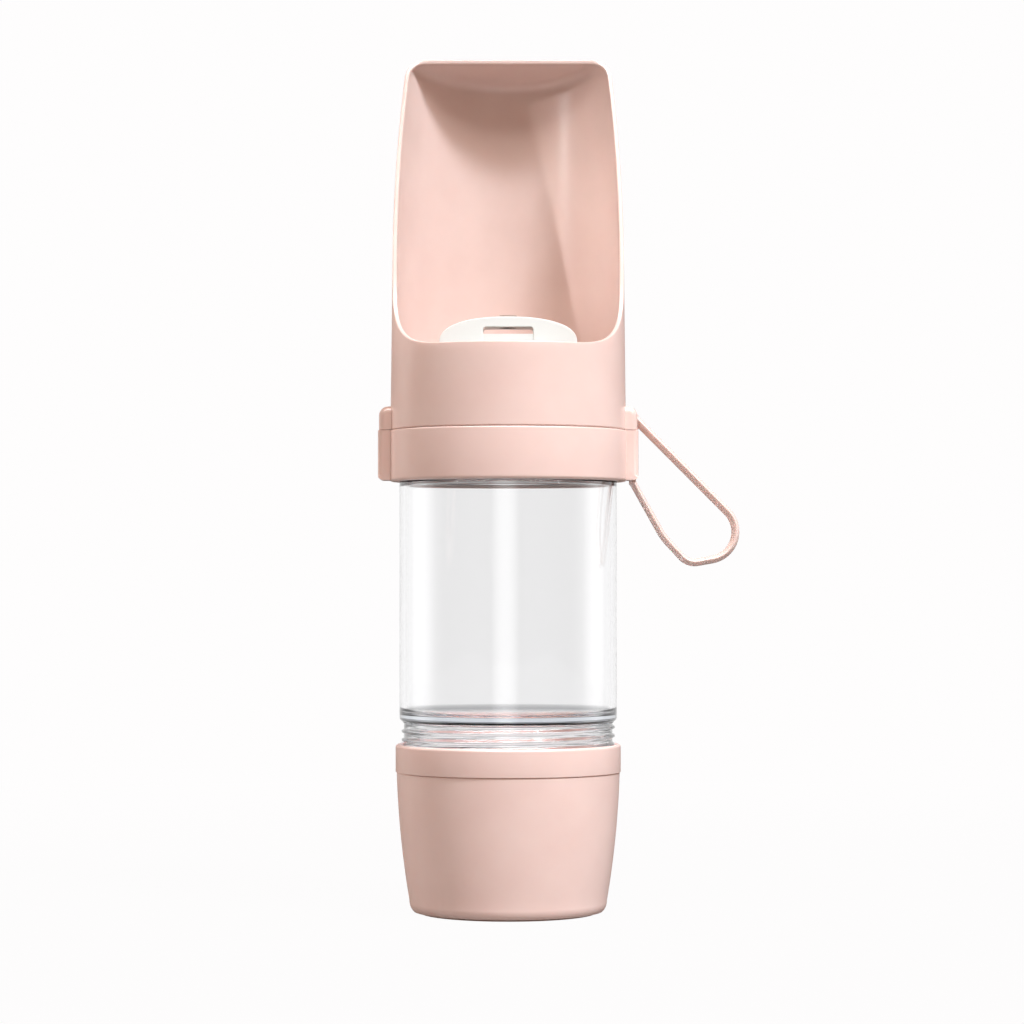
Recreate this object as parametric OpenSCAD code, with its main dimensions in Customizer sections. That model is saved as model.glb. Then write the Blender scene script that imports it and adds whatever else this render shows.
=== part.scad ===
// Dog travel water bottle: a clear bottle between a scoop head with a
// turning valve and a screw-on food cup. Millimetres, Z up, the floor is
// z = 0, the bottle's axis is the Z axis, the scoop opens towards -Y and
// the carry strap hangs on +X.

/* [Bottle] */
// Outer radius of the clear bottle body
body_r = 31.6; // [30:0.1:34]
// Height of the body from its lower edge to the shoulder
body_h = 71.6; // [50:0.5:110]
// Wall thickness of the bottle
bottle_wall = 2; // [1.2:0.1:2.6]
// Thickness of the bottle's floor
bottle_floor = 2.3; // [1.5:0.1:3.5]
// Radius of the rounded lower edge of the body
body_low_round = 1.6; // [0.6:0.1:2]
// Radius of the rounded shoulder
shoulder_round = 3.1; // [1.5:0.1:4]
// Step from the body in to the neck under its thread
neck_step = 5.6; // [4.8:0.1:8]
// Height of the neck above the shoulder
neck_h = 12; // [9:0.5:18]
// Step from the body in to the lower threaded stub
stub_step = 1.3; // [1:0.1:2]
// Length of the stub that shows between cup ring and body
stub_gap = 6.4; // [2:0.1:10]

/* [Food cup] */
// Height of the food cup up to the seam of its ring
cup_h = 41; // [30:0.5:70]
// How far the cup's side draws in from the seam to the foot
cup_taper = 3.7; // [1:0.1:6]
// Outward belly of the cup's side
cup_bulge = 0.65; // [0.1:0.05:1.5]
// Wall thickness of the food cup
cup_wall = 1.8; // [1.2:0.1:2.2]
// Thickness of the food cup's floor
cup_floor = 2.2; // [1.5:0.1:4]
// Width of the rounded foot edge
foot_round_w = 2.7; // [1:0.1:4]
// Height of the rounded foot edge
foot_round_h = 3.7; // [1:0.1:6]
// Visible height of the threaded cup ring
ring_h = 8; // [6:0.1:12]
// Wall of the cup ring outside its thread
ring_wall = 1.45; // [1.1:0.05:2]
// How far the ring stands proud of the cup
ring_step = 0.3; // [0.1:0.05:0.6]
// Depth of the spigot that plugs the ring into the cup
ring_spigot_h = 3; // [2.4:0.1:5]

/* [Collar] */
// Height of the collar skirt below the seam with the scoop
collar_h = 14.8; // [12:0.1:16]
// Wall of the collar skirt
collar_wall = 2.5; // [2.4:0.1:4]
// How far the collar stands proud of the scoop
seam_step = 0.3; // [0.1:0.05:0.6]

/* [Scoop] */
// Height of the scoop above the collar
scoop_h = 110; // [90:0.5:140]
// How far the scoop's side draws in from the seam to the top
scoop_taper = 1.3; // [0.5:0.1:3]
// Wall thickness of the scoop
scoop_wall = 1.3; // [1.2:0.1:2]
// Outer radius between the side and the top
top_round = 4.6; // [3:0.1:9]
// Height of the trough floor above the seam
trough_h = 18; // [16.5:0.1:22]
// Thickness of the trough floor
trough_floor = 2; // [1.6:0.1:3]
// Height of the front rim above the seam
rim_h = 23.5; // [22:0.1:40]
// Radius of the curve from the front rim to the slanted sides
rim_round = 25; // [15:0.5:30]
// Lean of the open face from the vertical in degrees
rim_lean = 14.5; // [12:0.1:20]
// Depth behind the axis that the open face reaches at the top
rim_top_depth = 13.8; // [8:0.1:18]

/* [Valve] */
// Half length of the knob's bar
knob_r = 19.9; // [17:0.1:22]
// Thickness of the knob's bar front to back
bar_t = 13; // [9:0.5:14]
// Height of the bar's straight sides above the disc
bar_side_h = 4.6; // [3:0.1:6]
// Rise of the domed top above the straight sides
bar_dome_h = 7.25; // [5:0.1:9]
// Half width of the window through the bar
window_w = 7.28; // [6:0.1:9]
// Thickness of the arch above the window
arch_t = 3.3; // [2:0.1:4]
// Free height of the window above the hub
window_gap = 2.05; // [1.8:0.05:4]
// Thickness of the knob's disc
disc_t = 2.5; // [2:0.1:3.5]
// Thickness of the silicone gasket under the disc
gasket_t = 0.8; // [0.5:0.1:1.5]
// Radius of each valve port
port_r = 2.4; // [1.5:0.1:2.6]
// Distance of the valve ports from the axis
port_ring_r = 12.9; // [12.5:0.1:13.5]
// Radius of the pivot screw's shank
pivot_r = 1.25; // [1:0.05:1.6]

/* [Lugs and strap] */
// Half width of each lug along the wall
lug_w = 5.6; // [5.2:0.1:7]
// How far each lug reaches out from the collar wall
lug_out = 3.2; // [3:0.1:4.5]
// Height of the upper lug above the seam
lug_up = 6.9; // [6.6:0.1:9]
// Width of the strap front to back
strap_w = 4; // [3:0.1:4.4]
// Thickness of the strap where it leaves the upper lug
strap_t_top = 2.5; // [2:0.1:3]
// Thickness of the strap where it enters the lower lug
strap_t_low = 2.1; // [1.6:0.1:2.4]
// Sideways reach of the strap's outer corner beyond the lug
strap_reach = 36.9; // [28:0.5:50]
// Drop of the strap's outer corner below the upper root
strap_drop = 37.2; // [30:0.5:50]
// Radius of the strap's outer bend
strap_bend = 8.2; // [5:0.1:9]
// Sideways reach of the strap's lower corner beyond the lug
strap_toe_reach = 14.6; // [10:0.1:20]
// Drop of the strap's lower corner below the upper root
strap_toe_drop = 41.3; // [38:0.5:60]
// Radius of the strap's lower bend
strap_toe_bend = 5.3; // [3:0.1:6]
// Sideways reach of the gentle bend in the strap's lower run beyond the lug
strap_calf_reach = 7.4; // [5:0.1:9]
// Drop of that gentle bend below the upper root
strap_calf_drop = 33.6; // [28:0.1:36]
// Radius of that gentle bend
strap_calf_bend = 19.7; // [10:0.5:24]

/* [Hidden] */
$fn = 96;

// Overrun of every cut
over = 1;
// Clearance of parts that are pushed together
fit = 0.05;
// Running clearance of turning parts
run_fit = 0.1;
// Free gap between parts that pass each other
free_gap = 0.3;
// Number of steps in each small rounding
steps = 6;
// Number of steps in each long curve
long_steps = 16;

// Height of the threads on stub and neck above their roots
thread_h = 0.7;
// Clearance around the stub's thread in the ring
thread_fit = 0.25;
// Thickness of the seal between ring and stub
cup_seal_t = 1.2;
// Thickness of the ring's inner ledge
ring_ledge_t = 1.2;
// How far the ring's ledge reaches inside its thread
ring_ledge_w = 2.85;
// Rounding of the ring's top edge
ring_edge = 0.7;
// Depth of the gasket groove in the ring's spigot
ring_groove_d = 0.6;
// Height of the gasket groove in the ring's spigot
ring_groove_h = 1;
// Distance of the groove above the spigot's lower end
ring_groove_up = 1.2;
// Rounding inside the food cup between side and floor
cup_inner_round = 3;
// Rounding inside the bottle between side and floor
bottle_inner_round = 1.4;

// Height of the neck's thread above its root
neck_thread_h = 0.9;
// Share of the space beside the neck that the inner skirt fills
nut_share = 0.48;
// Thickness of the gasket on the bottle's lip
neck_gasket_t = 1.4;
// How far the web's underside lies above the seam
web_up = 0.4;
// Thickness of the collar's web
web_t = 2;
// How far the web reaches inside the neck's bore
web_lip = 1.4;
// Gap between body and collar skirt
skirt_gap = 0.4;
// Depth of the web's root below the seam
web_root = 2.4;
// Gap between the neck's shoulder and the inner skirt
nut_gap = 1.5;
// Softened lower edge of the collar
collar_edge = 0.5;
// Softened upper edge of the collar
collar_top_edge = 0.25;

// Gap between web and skirt bore that the scoop's skirt fills
spigot_step = 0.4;
// Width of the scoop's inner ledge over its skirt bore
ledge_w = 2.75;
// Thickness of the scoop's inner ledge
ledge_t = 2;
// Thickness of the seal between web and scoop
scoop_seal_t = 1;
// Radial width of the seal between web and scoop
scoop_seal_w = 2.1;
// Inner rounding between trough floor and side
trough_round = 3;

// Radius of the hole in the trough floor for the valve seat
seat_hole_r = 18.5;
// Width of the seat's flange under the trough floor
seat_flange_w = 3.5;
// Thickness of the seat's flange
seat_flange_t = 2.2;
// Radius of the o-ring section under the seat flange
seat_ring_s = 0.5;
// Inset of that o-ring from the flange's edge
seat_ring_in = 1.5;
// Outer radius of the seat's screw boss
boss_r = 6.8;
// Depth of the screw boss below the flange
boss_h = 5.6;
// Thickness of the boss's closed end
boss_end = 0.9;
// Radius of the knob's turning spigot
spigot_r = 4.5;
// Length of the knob's turning spigot
spigot_h = 3.4;
// Depth of the o-ring groove in the spigot
o_groove_d = 0.6;
// Height of the o-ring groove in the spigot
o_groove_h = 0.9;
// Distance of the groove below the disc
o_groove_down = 1.5;
// Radius of the o-ring's section
o_ring_s = 0.3;
// Margin of the disc around the bar
disc_margin = 1;
// Inset of the gasket from the disc's edge
gasket_inset = 1.3;
// Half angle between neighbouring ports
port_angle = 32;
// Shape number of the knob's dome
dome_power = 2.3;
// Gap between hub and window side
hub_gap = 0.2;
// Radius of the counterbore for the screw head
counter_r = 3.3;
// Depth of the counterbore
counter_h = 3.6;
// Thickness of the spring washer
spring_t = 1.1;
// Thickness of the plain washer
washer_t = 0.7;
// Radius of the screw head
head_r = 2.4;
// Height of the screw head
head_h = 1.5;
// Radius and depth of the screw head's hex recess
hex_r = 1.2;
hex_h = 0.9;
// Clearance between plug and access hole
plug_fit = 0.05;
// Height of the plug above the dome
plug_proud = 0.3;

// Lug geometry: root depth in the wall, edge rounding, dome and draft
lug_root = 1.5;
lug_edge = 0.9;
lug_dome = 3.1;
lug_side_dome = 2.6;
lug_draft = 0.3;
// How far the lower lug stays above the collar's lower edge
lug_low_up = 0.4;
// Rounding of the lower lug's outer lower edge
lug_low_round = 1.5;
// Radius of the strap's round leg inside the lug
leg_r = 1;
// Running clearance of the leg
leg_fit = 0.08;
// Distance of the leg's axis inside the lug's face
leg_in = 1.6;
// Half width of the pocket that lets the strap swing
pocket_w = 3.6;
// Height of the pocket above the seam
pocket_h = 5.1;
// Swing gap behind the strap's round end
pocket_back = 0.3;
// Height of the strap's centre above the seam at the upper root
strap_root_up = 2.6;
// Gap between the strap's lower end and the lower lug
strap_low_gap = 0.3;
// Slope of the strap's upper run in degrees below level
strap_slope = 45;

// Collar screws: radius of place, angle off the X axis and sizes
screw_place_in = 1.2;
screw_angle = 9;
screw_head_r = 1;
screw_head_h = 1.4;
screw_shank_r = 0.7;
screw_recess = 4.5;
screw_bite = 5;

// Radii of the stack, worked out from the body
stub_r = body_r - stub_step;
stub_in = stub_r - bottle_wall;
body_in = body_r - bottle_wall;
neck_r = body_r - neck_step;
neck_in = neck_r - bottle_wall;
ring_bore = stub_r + thread_h + thread_fit;
ring_r = ring_bore + ring_wall;
ring_hole = ring_bore - ring_ledge_w;
cup_r = ring_r - ring_step;
skirt_bore = body_r + skirt_gap;
collar_r = skirt_bore + collar_wall;
scoop_r = collar_r - seam_step;
nut_bore = neck_r + neck_thread_h + free_gap;
nut_r = nut_bore + nut_share * (skirt_bore - nut_bore);
mouth_r = neck_in - web_lip;
web_r = skirt_bore - spigot_step;
scoop_skirt = web_r + fit;
ledge_r = scoop_skirt - ledge_w;

// Heights of the stack, from the floor up
z_ring = cup_h;
z_ring_top = z_ring + ring_h;
z_seal = z_ring + ring_ledge_t;
z_stub = z_seal + cup_seal_t;
z_body = z_ring_top + stub_gap;
z_floor = z_body + bottle_floor;
z_shoulder = z_body + body_h;
z_lip = z_shoulder + neck_h;
z_web = z_lip + neck_gasket_t;
z_web_top = z_web + web_t;
z_seam = z_web - web_up;
z_collar = z_seam - collar_h;
z_ledge = z_web_top + scoop_seal_t;
z_top = z_seam + scoop_h;
z_trough = z_seam + trough_h;
z_rim = z_seam + rim_h;
z_disc = z_trough + gasket_t;
z_disc_top = z_disc + disc_t;
z_side = z_disc_top + bar_side_h;
z_apex = z_side + bar_dome_h;
z_window = z_apex - arch_t;
z_hub = z_window - window_gap;
z_counter = z_hub - counter_h;
z_seat = z_trough - trough_floor - seat_flange_t;

// Points of an arc from angle a to angle b round centre (x, z)
function arc(x, z, r, a, b, n) =
    [for (i = [0 : n]) [x + r * cos(a + (b - a) * i / n), z + r * sin(a + (b - a) * i / n)]];

// Outer radius of the food cup at height z
function cup_out(z) = let (t = (z - foot_round_h) / (cup_h - foot_round_h))
    cup_r - cup_taper * (1 - t) + 4 * cup_bulge * t * (1 - t);

// Outer radius of the scoop at height z
function scoop_out(z) = scoop_r - scoop_taper * (z - z_seam) / scoop_h;

// Height of the knob's dome over its straight sides at distance r
function dome_z(r) = bar_dome_h * pow(1 - pow(r / knob_r, dome_power), 1 / dome_power);

// Offset of a path of points to one side, with a thickness that fades along it
function path_side(p, side) = [for (i = [0 : len(p) - 1])
    let (a = p[max(0, i - 1)], b = p[min(len(p) - 1, i + 1)],
        d = b - a, l = norm(d),
        t = strap_t_top + (strap_t_low - strap_t_top) * i / (len(p) - 1))
    p[i] + side * t / 2 * [-d[1], d[0]] / l];

// Rounded corner of a path at v, coming from a and going on to b
function corner(a, v, b, r, n) =
    let (u = (a - v) / norm(a - v), w = (b - v) / norm(b - v),
        half = acos(u * w) / 2, t = r / tan(half),
        m = (u + w) / norm(u + w), c = v + m * r / sin(half),
        p = v + u * t - c, q = v + w * t - c,
        s0 = atan2(p[1], p[0]), s1 = atan2(q[1], q[0]),
        turn = ((s1 - s0 + 540) % 360) - 180)
    [for (i = [0 : n]) c + r * [cos(s0 + turn * i / n), sin(s0 + turn * i / n)]];

module scoop() {
    inner_top = z_top - scoop_wall;
    inner_round = top_round - scoop_wall;
    side_top = scoop_out(z_top - top_round);
    chamber = scoop_out(z_seam) - scoop_wall;
    trough_r = scoop_out(z_trough + trough_round) - scoop_wall;
    color("#f0cdc2")
    difference() {
        union() {
            difference() {
                rotate_extrude()
                    polygon(concat(
                        [[scoop_skirt, z_seam], [scoop_out(z_seam), z_seam]],
                        arc(side_top - top_round, z_top - top_round, top_round, 0, 90, steps),
                        [[0, z_top], [0, inner_top]],
                        arc(side_top - top_round, z_top - top_round, inner_round, 90, 0, steps),
                        arc(trough_r - trough_round, z_trough + trough_round, trough_round, 0, -90, steps),
                        [[seat_hole_r, z_trough],
                            [seat_hole_r, z_trough - trough_floor],
                            [chamber, z_trough - trough_floor],
                            [chamber, z_ledge + ledge_t],
                            [ledge_r, z_ledge + ledge_t],
                            [ledge_r, z_ledge],
                            [scoop_skirt, z_ledge]]));
                opening_cut();
            }
            upper_lug();
            mirror([1, 0, 0]) upper_lug();
        }
        strap_pocket();
        screw_places() translate([0, 0, z_seam - over])
            cylinder(r = screw_shank_r, h = screw_bite + over);
    }
}

// The space in front of the open face, seen from the side
module opening_cut() {
    lean_x = rim_top_depth - (z_top - z_rim) * tan(rim_lean);
    t = rim_round * tan((90 - rim_lean) / 2);
    cx = lean_x - t;
    top = z_top + over;
    reach = 2 * collar_r;
    rotate([90, 0, 90])
        linear_extrude(height = 2 * reach, center = true)
            polygon(concat(
                [[-reach, z_rim]],
                arc(cx, z_rim + rim_round, rim_round, -90, -rim_lean, long_steps),
                [[rim_top_depth + over * tan(rim_lean), top], [-reach, top]]));
}

// Outline of a lug seen from above, rooted in the wall
module lug_plan(face) {
    root = collar_r - lug_root;
    hull_y = lug_w - lug_edge;
    polygon(concat(
        [[root, -lug_w]],
        arc(face - lug_edge, -hull_y, lug_edge, -90, 0, steps),
        arc(face - lug_edge, hull_y, lug_edge, 0, 90, steps),
        [[root, lug_w]]));
}

module upper_lug() {
    face = collar_r + lug_out - lug_draft;
    root = collar_r - lug_root;
    z1 = z_seam + lug_up;
    intersection() {
        translate([0, 0, z_seam]) linear_extrude(height = lug_up) lug_plan(face);
        rotate([90, 0, 0]) linear_extrude(height = 2 * collar_r, center = true)
            polygon(concat(
                [[root, z_seam], [face, z_seam]],
                arc(face - lug_dome, z1 - lug_dome, lug_dome, 0, 90, steps),
                [[root, z1]]));
        rotate([90, 0, 90]) linear_extrude(height = 2 * collar_r)
            polygon(concat(
                [[-lug_w, z_seam], [lug_w, z_seam]],
                arc(lug_w - lug_side_dome, z1 - lug_side_dome, lug_side_dome, 0, 90, steps),
                arc(-lug_w + lug_side_dome, z1 - lug_side_dome, lug_side_dome, 90, 180, steps)));
    }
}

module lower_lug() {
    face = collar_r + lug_out;
    root = collar_r - lug_root;
    z0 = z_collar + lug_low_up;
    intersection() {
        translate([0, 0, z0]) linear_extrude(height = z_seam - z0) lug_plan(face);
        rotate([90, 0, 0]) linear_extrude(height = 2 * collar_r, center = true)
            polygon(concat(
                [[root, z0]],
                arc(face - lug_low_round, z0 + lug_low_round, lug_low_round, -90, 0, steps),
                [[face - lug_draft, z_seam], [root, z_seam]]));
    }
}

// Pocket in the upper right lug that the strap's round end swings in
module strap_pocket() {
    axis_x = collar_r + lug_out - leg_in;
    back = axis_x - strap_w / 2 - pocket_back;
    translate([back, -pocket_w, z_seam - over])
        cube([collar_r + lug_out + over - back, 2 * pocket_w, pocket_h + over]);
}

// Places of the two screws that hold the scoop on the collar
module screw_places() {
    for (side = [-1, 1])
        translate([side * (collar_r - screw_place_in) * cos(screw_angle),
            -(collar_r - screw_place_in) * sin(screw_angle), 0])
            children();
}

module collar() {
    color("#efcabf")
    difference() {
        union() {
            rotate_extrude()
                polygon([[skirt_bore, z_collar],
                    [collar_r - collar_edge, z_collar],
                    [collar_r, z_collar + collar_edge],
                    [collar_r, z_seam - collar_top_edge],
                    [collar_r - collar_top_edge, z_seam],
                    [web_r, z_seam],
                    [web_r, z_web_top],
                    [mouth_r, z_web_top],
                    [mouth_r, z_web],
                    [nut_bore, z_web],
                    [nut_bore, z_shoulder + nut_gap],
                    [nut_r, z_shoulder + nut_gap],
                    [nut_r, z_seam - web_root],
                    [skirt_bore, z_seam - web_root]]);
            lower_lug();
            mirror([1, 0, 0]) lower_lug();
        }
        translate([collar_r + lug_out - leg_in, 0, z_collar - over])
            cylinder(r = leg_r + leg_fit, h = collar_h + 2 * over);
        screw_places() translate([0, 0, z_collar - over]) {
            cylinder(r = screw_shank_r + run_fit, h = collar_h + 2 * over);
            cylinder(r = screw_head_r + run_fit, h = screw_recess + over);
        }
    }
}

module collar_screws() {
    color("#c4c6c9")
    screw_places() {
        translate([0, 0, z_collar + screw_recess - screw_head_h])
            difference() {
                cylinder(r = screw_head_r, h = screw_head_h);
                translate([0, 0, -over])
                    cylinder(r = screw_head_r / 2, h = screw_head_h / 2 + over, $fn = 6);
            }
        translate([0, 0, z_collar + screw_recess])
            cylinder(r = screw_shank_r, h = z_seam + screw_bite - z_collar - screw_recess);
    }
}

// One side's three ports, turned to the given angle
module ports(angle, z, h) {
    for (side = [0, 180], k = [-1, 0, 1])
        rotate([0, 0, angle + side + k * port_angle])
            translate([port_ring_r, 0, z]) cylinder(r = port_r, h = h);
}

module valve_seat() {
    flange_r = seat_hole_r + seat_flange_w;
    ring_place = flange_r - seat_ring_in;
    color("#e9e9e6")
    difference() {
        union() {
            translate([0, 0, z_seat]) cylinder(r = flange_r, h = seat_flange_t);
            translate([0, 0, z_seat + seat_flange_t])
                cylinder(r = seat_hole_r - fit, h = trough_floor);
            translate([0, 0, z_seat - boss_h]) cylinder(r = boss_r, h = boss_h);
        }
        ports(0, z_seat - over, seat_flange_t + trough_floor + 2 * over);
        translate([0, 0, z_disc - spigot_h - run_fit])
            cylinder(r = spigot_r + run_fit, h = spigot_h + over);
        translate([0, 0, z_seat - boss_h + boss_end])
            cylinder(r = pivot_r, h = z_disc - z_seat + boss_h);
        rotate_extrude()
            translate([ring_place - seat_ring_s, z_seat + seat_flange_t - 2 * seat_ring_s])
                square([2 * seat_ring_s, 2 * seat_ring_s + over]);
    }
}

module seat_o_ring() {
    ring_place = seat_hole_r + seat_flange_w - seat_ring_in;
    color("#3b3b3d")
    rotate_extrude()
        translate([ring_place, z_seat + seat_flange_t - seat_ring_s]) circle(r = seat_ring_s, $fn = 24);
}

module valve_gasket() {
    color("#d8d6d2")
    difference() {
        translate([0, 0, z_trough])
            cylinder(r = knob_r + disc_margin - gasket_inset, h = gasket_t);
        translate([0, 0, z_trough - over])
            cylinder(r = spigot_r + run_fit, h = gasket_t + 2 * over);
        ports(0, z_trough - over, gasket_t + 2 * over);
    }
}

module valve_knob() {
    color("#faf9f5")
    difference() {
        union() {
            translate([0, 0, z_disc]) cylinder(r = knob_r + disc_margin, h = disc_t);
            difference() {
                intersection() {
                    rotate_extrude()
                        polygon(concat(
                            [[0, z_disc], [knob_r, z_disc]],
                            [for (i = [long_steps : -1 : 0])
                                let (r = knob_r * sin(90 * i / long_steps)) [r, z_side + dome_z(r)]]));
                    translate([-2 * knob_r, -bar_t / 2, z_disc])
                        cube([4 * knob_r, bar_t, z_apex - z_disc + over]);
                }
                translate([-window_w, -bar_t, z_disc_top])
                    cube([2 * window_w, 2 * bar_t, z_window - z_disc_top]);
            }
            translate([0, 0, z_disc]) cylinder(r = window_w - hub_gap, h = z_hub - z_disc);
            translate([0, 0, z_disc - spigot_h]) cylinder(r = spigot_r, h = spigot_h + disc_t);
        }
        ports(90, z_disc - over, disc_t + over + bar_side_h);
        translate([0, 0, z_disc - spigot_h - over])
            cylinder(r = pivot_r + run_fit, h = z_hub - z_disc + spigot_h + 2 * over);
        translate([0, 0, z_counter]) cylinder(r = counter_r, h = counter_h + over);
        translate([0, 0, z_window - over]) cylinder(r = head_r + 2 * run_fit, h = arch_t + 2 * over);
        rotate_extrude()
            translate([spigot_r - o_groove_d, z_disc - o_groove_down - o_groove_h])
                square([o_groove_d + over, o_groove_h]);
    }
}

module rotor_o_ring() {
    color("#3b3b3d")
    rotate_extrude()
        translate([spigot_r - o_groove_d + o_ring_s, z_disc - o_groove_down - o_groove_h / 2])
            circle(r = o_ring_s, $fn = 24);
}

module knob_plug() {
    color("#b9a79c")
    translate([0, 0, z_window])
        cylinder(r = head_r + 2 * run_fit - plug_fit, h = arch_t + plug_proud);
}

module pivot_spring() {
    color("#aeb1b5")
    difference() {
        translate([0, 0, z_counter]) cylinder(r = counter_r - free_gap, h = spring_t);
        translate([0, 0, z_counter - over])
            cylinder(r = pivot_r + free_gap, h = spring_t + 2 * over);
    }
}

module pivot_washer() {
    color("#b8babd")
    difference() {
        translate([0, 0, z_counter + spring_t]) cylinder(r = counter_r - free_gap, h = washer_t);
        translate([0, 0, z_counter + spring_t - over])
            cylinder(r = pivot_r + fit, h = washer_t + 2 * over);
    }
}

module pivot_screw() {
    z_head = z_counter + spring_t + washer_t;
    z_tip = z_seat - boss_h + boss_end;
    color("#c4c6c9")
    difference() {
        union() {
            translate([0, 0, z_tip]) cylinder(r = pivot_r, h = z_head - z_tip);
            translate([0, 0, z_head]) cylinder(r = head_r, h = head_h);
        }
        translate([0, 0, z_head + head_h - hex_h]) cylinder(r = hex_r, h = hex_h + over, $fn = 6);
    }
}

module scoop_seal() {
    color("#3b3b3d")
    difference() {
        translate([0, 0, z_web_top]) cylinder(r = web_r - free_gap, h = scoop_seal_t);
        translate([0, 0, z_web_top - over])
            cylinder(r = web_r - free_gap - scoop_seal_w, h = scoop_seal_t + 2 * over);
    }
}

module neck_gasket() {
    color("#d8d6d2")
    difference() {
        translate([0, 0, z_lip]) cylinder(r = neck_r, h = neck_gasket_t);
        translate([0, 0, z_lip - over]) cylinder(r = mouth_r, h = neck_gasket_t + 2 * over);
    }
}

module bottle() {
    in_round = shoulder_round - bottle_wall / 2;
    color("#dfe9ee", 0.4)
    rotate_extrude()
        polygon(concat(
            [[stub_in, z_stub], [stub_r, z_stub], [stub_r, z_body]],
            arc(body_r - body_low_round, z_body + body_low_round, body_low_round, -90, 0, steps),
            arc(body_r - shoulder_round, z_shoulder - shoulder_round, shoulder_round, 0, 90, steps),
            [[neck_r, z_shoulder], [neck_r, z_lip], [neck_in, z_lip],
                [neck_in, z_shoulder - bottle_wall]],
            arc(body_in - in_round, z_shoulder - bottle_wall - in_round, in_round, 90, 0, steps),
            arc(body_in - bottle_inner_round, z_floor + bottle_inner_round, bottle_inner_round,
                0, -90, steps),
            [[0, z_floor], [0, z_floor - bottle_floor], [stub_in, z_floor - bottle_floor]]));
}

module cup_seal() {
    color("#d8d6d2")
    difference() {
        translate([0, 0, z_seal]) cylinder(r = ring_bore - thread_fit, h = cup_seal_t);
        translate([0, 0, z_seal - over]) cylinder(r = stub_in, h = cup_seal_t + 2 * over);
    }
}

module cup_ring() {
    spigot = cup_out(z_ring - ring_spigot_h) - cup_wall - fit;
    z0 = z_ring - ring_spigot_h;
    color("#f0cdc2")
    rotate_extrude()
        polygon(concat(
            [[ring_hole, z0], [spigot, z0],
                [spigot, z0 + ring_groove_up],
                [spigot - ring_groove_d, z0 + ring_groove_up],
                [spigot - ring_groove_d, z0 + ring_groove_up + ring_groove_h],
                [spigot, z0 + ring_groove_up + ring_groove_h],
                [spigot, z_ring], [ring_r, z_ring]],
            arc(ring_r - ring_edge, z_ring_top - ring_edge, ring_edge, 0, 90, steps),
            [[ring_bore, z_ring_top], [ring_bore, z_seal], [ring_hole, z_seal]]));
}

module ring_gasket() {
    spigot = cup_out(z_ring - ring_spigot_h) - cup_wall - fit;
    z0 = z_ring - ring_spigot_h + ring_groove_up;
    color("#3b3b3d")
    difference() {
        translate([0, 0, z0]) cylinder(r = spigot + fit, h = ring_groove_h);
        translate([0, 0, z0 - over]) cylinder(r = spigot - ring_groove_d, h = ring_groove_h + 2 * over);
    }
}

module food_cup() {
    foot = cup_out(foot_round_h) - foot_round_w;
    wall_n = 10;
    in_r = cup_out(cup_floor + cup_inner_round) - cup_wall;
    side0 = cup_floor + cup_inner_round;
    color("#f0cdc2")
    rotate_extrude()
        polygon(concat(
            [[0, 0]],
            [for (i = [0 : steps])
                [foot + foot_round_w * sin(90 * i / steps), foot_round_h * (1 - cos(90 * i / steps))]],
            [for (i = [1 : wall_n]) let (z = foot_round_h + (cup_h - foot_round_h) * i / wall_n)
                [cup_out(z), z]],
            [for (i = [wall_n : -1 : 1]) let (z = side0 + (cup_h - side0) * i / wall_n)
                [cup_out(z) - cup_wall, z]],
            arc(in_r - cup_inner_round, side0, cup_inner_round, 0, -90, steps),
            [[0, cup_floor]]));
}

module strap() {
    face = collar_r + lug_out;
    axis_x = face - leg_in;
    root_z = z_seam + strap_root_up;
    low_z = z_collar + lug_low_up - strap_low_gap;
    // Path from the upper root round the three bends to the lower root
    start = [axis_x, root_z + leg_in * tan(strap_slope)];
    v1 = [face + strap_reach, root_z - strap_drop];
    v2 = [face + strap_toe_reach, root_z - strap_toe_drop];
    v3 = [face + strap_calf_reach, root_z - strap_calf_drop];
    stop = [axis_x, low_z];
    path = concat([start], corner(start, v1, v2, strap_bend, long_steps),
        corner(v1, v2, v3, strap_toe_bend, steps),
        corner(v2, v3, stop, strap_calf_bend, steps), [stop]);
    color("#efc6ba")
    union() {
        difference() {
            rotate([90, 0, 0]) linear_extrude(height = strap_w, center = true)
                polygon(concat(path_side(path, 1), [for (i = [len(path) - 1 : -1 : 0])
                    path_side(path, -1)[i]]));
            // What lies behind the swing axis or above the pocket is cut off
            translate([axis_x - 2 * leg_in - strap_w, -strap_w, low_z + over])
                cube([2 * leg_in + strap_w, 2 * strap_w, scoop_h]);
            translate([axis_x - strap_w, -strap_w, z_seam + pocket_h - pocket_back])
                cube([2 * strap_w, 2 * strap_w, scoop_h]);
            translate([axis_x - strap_w, -strap_w, low_z])
                cube([2 * strap_w, 2 * strap_w, z_seam - low_z]);
        }
        translate([axis_x, 0, z_seam + pocket_back])
            cylinder(r = strap_w / 2, h = pocket_h - 2 * pocket_back);
        translate([axis_x, 0, low_z - leg_r])
            cylinder(r = leg_r, h = z_seam - low_z + 2 * leg_r);
    }
}

scoop();
collar();
valve_knob();
knob_plug();
pivot_screw();
pivot_washer();
pivot_spring();
valve_gasket();
valve_seat();
seat_o_ring();
rotor_o_ring();
scoop_seal();
collar_screws();
neck_gasket();
bottle();
cup_seal();
cup_ring();
ring_gasket();
food_cup();
strap();
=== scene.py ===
"""Dog travel water bottle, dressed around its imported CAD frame. Metres, Z up, the bottle's axis is Z,
the scoop opens towards -Y and the carry strap hangs on +X."""

import math

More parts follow.
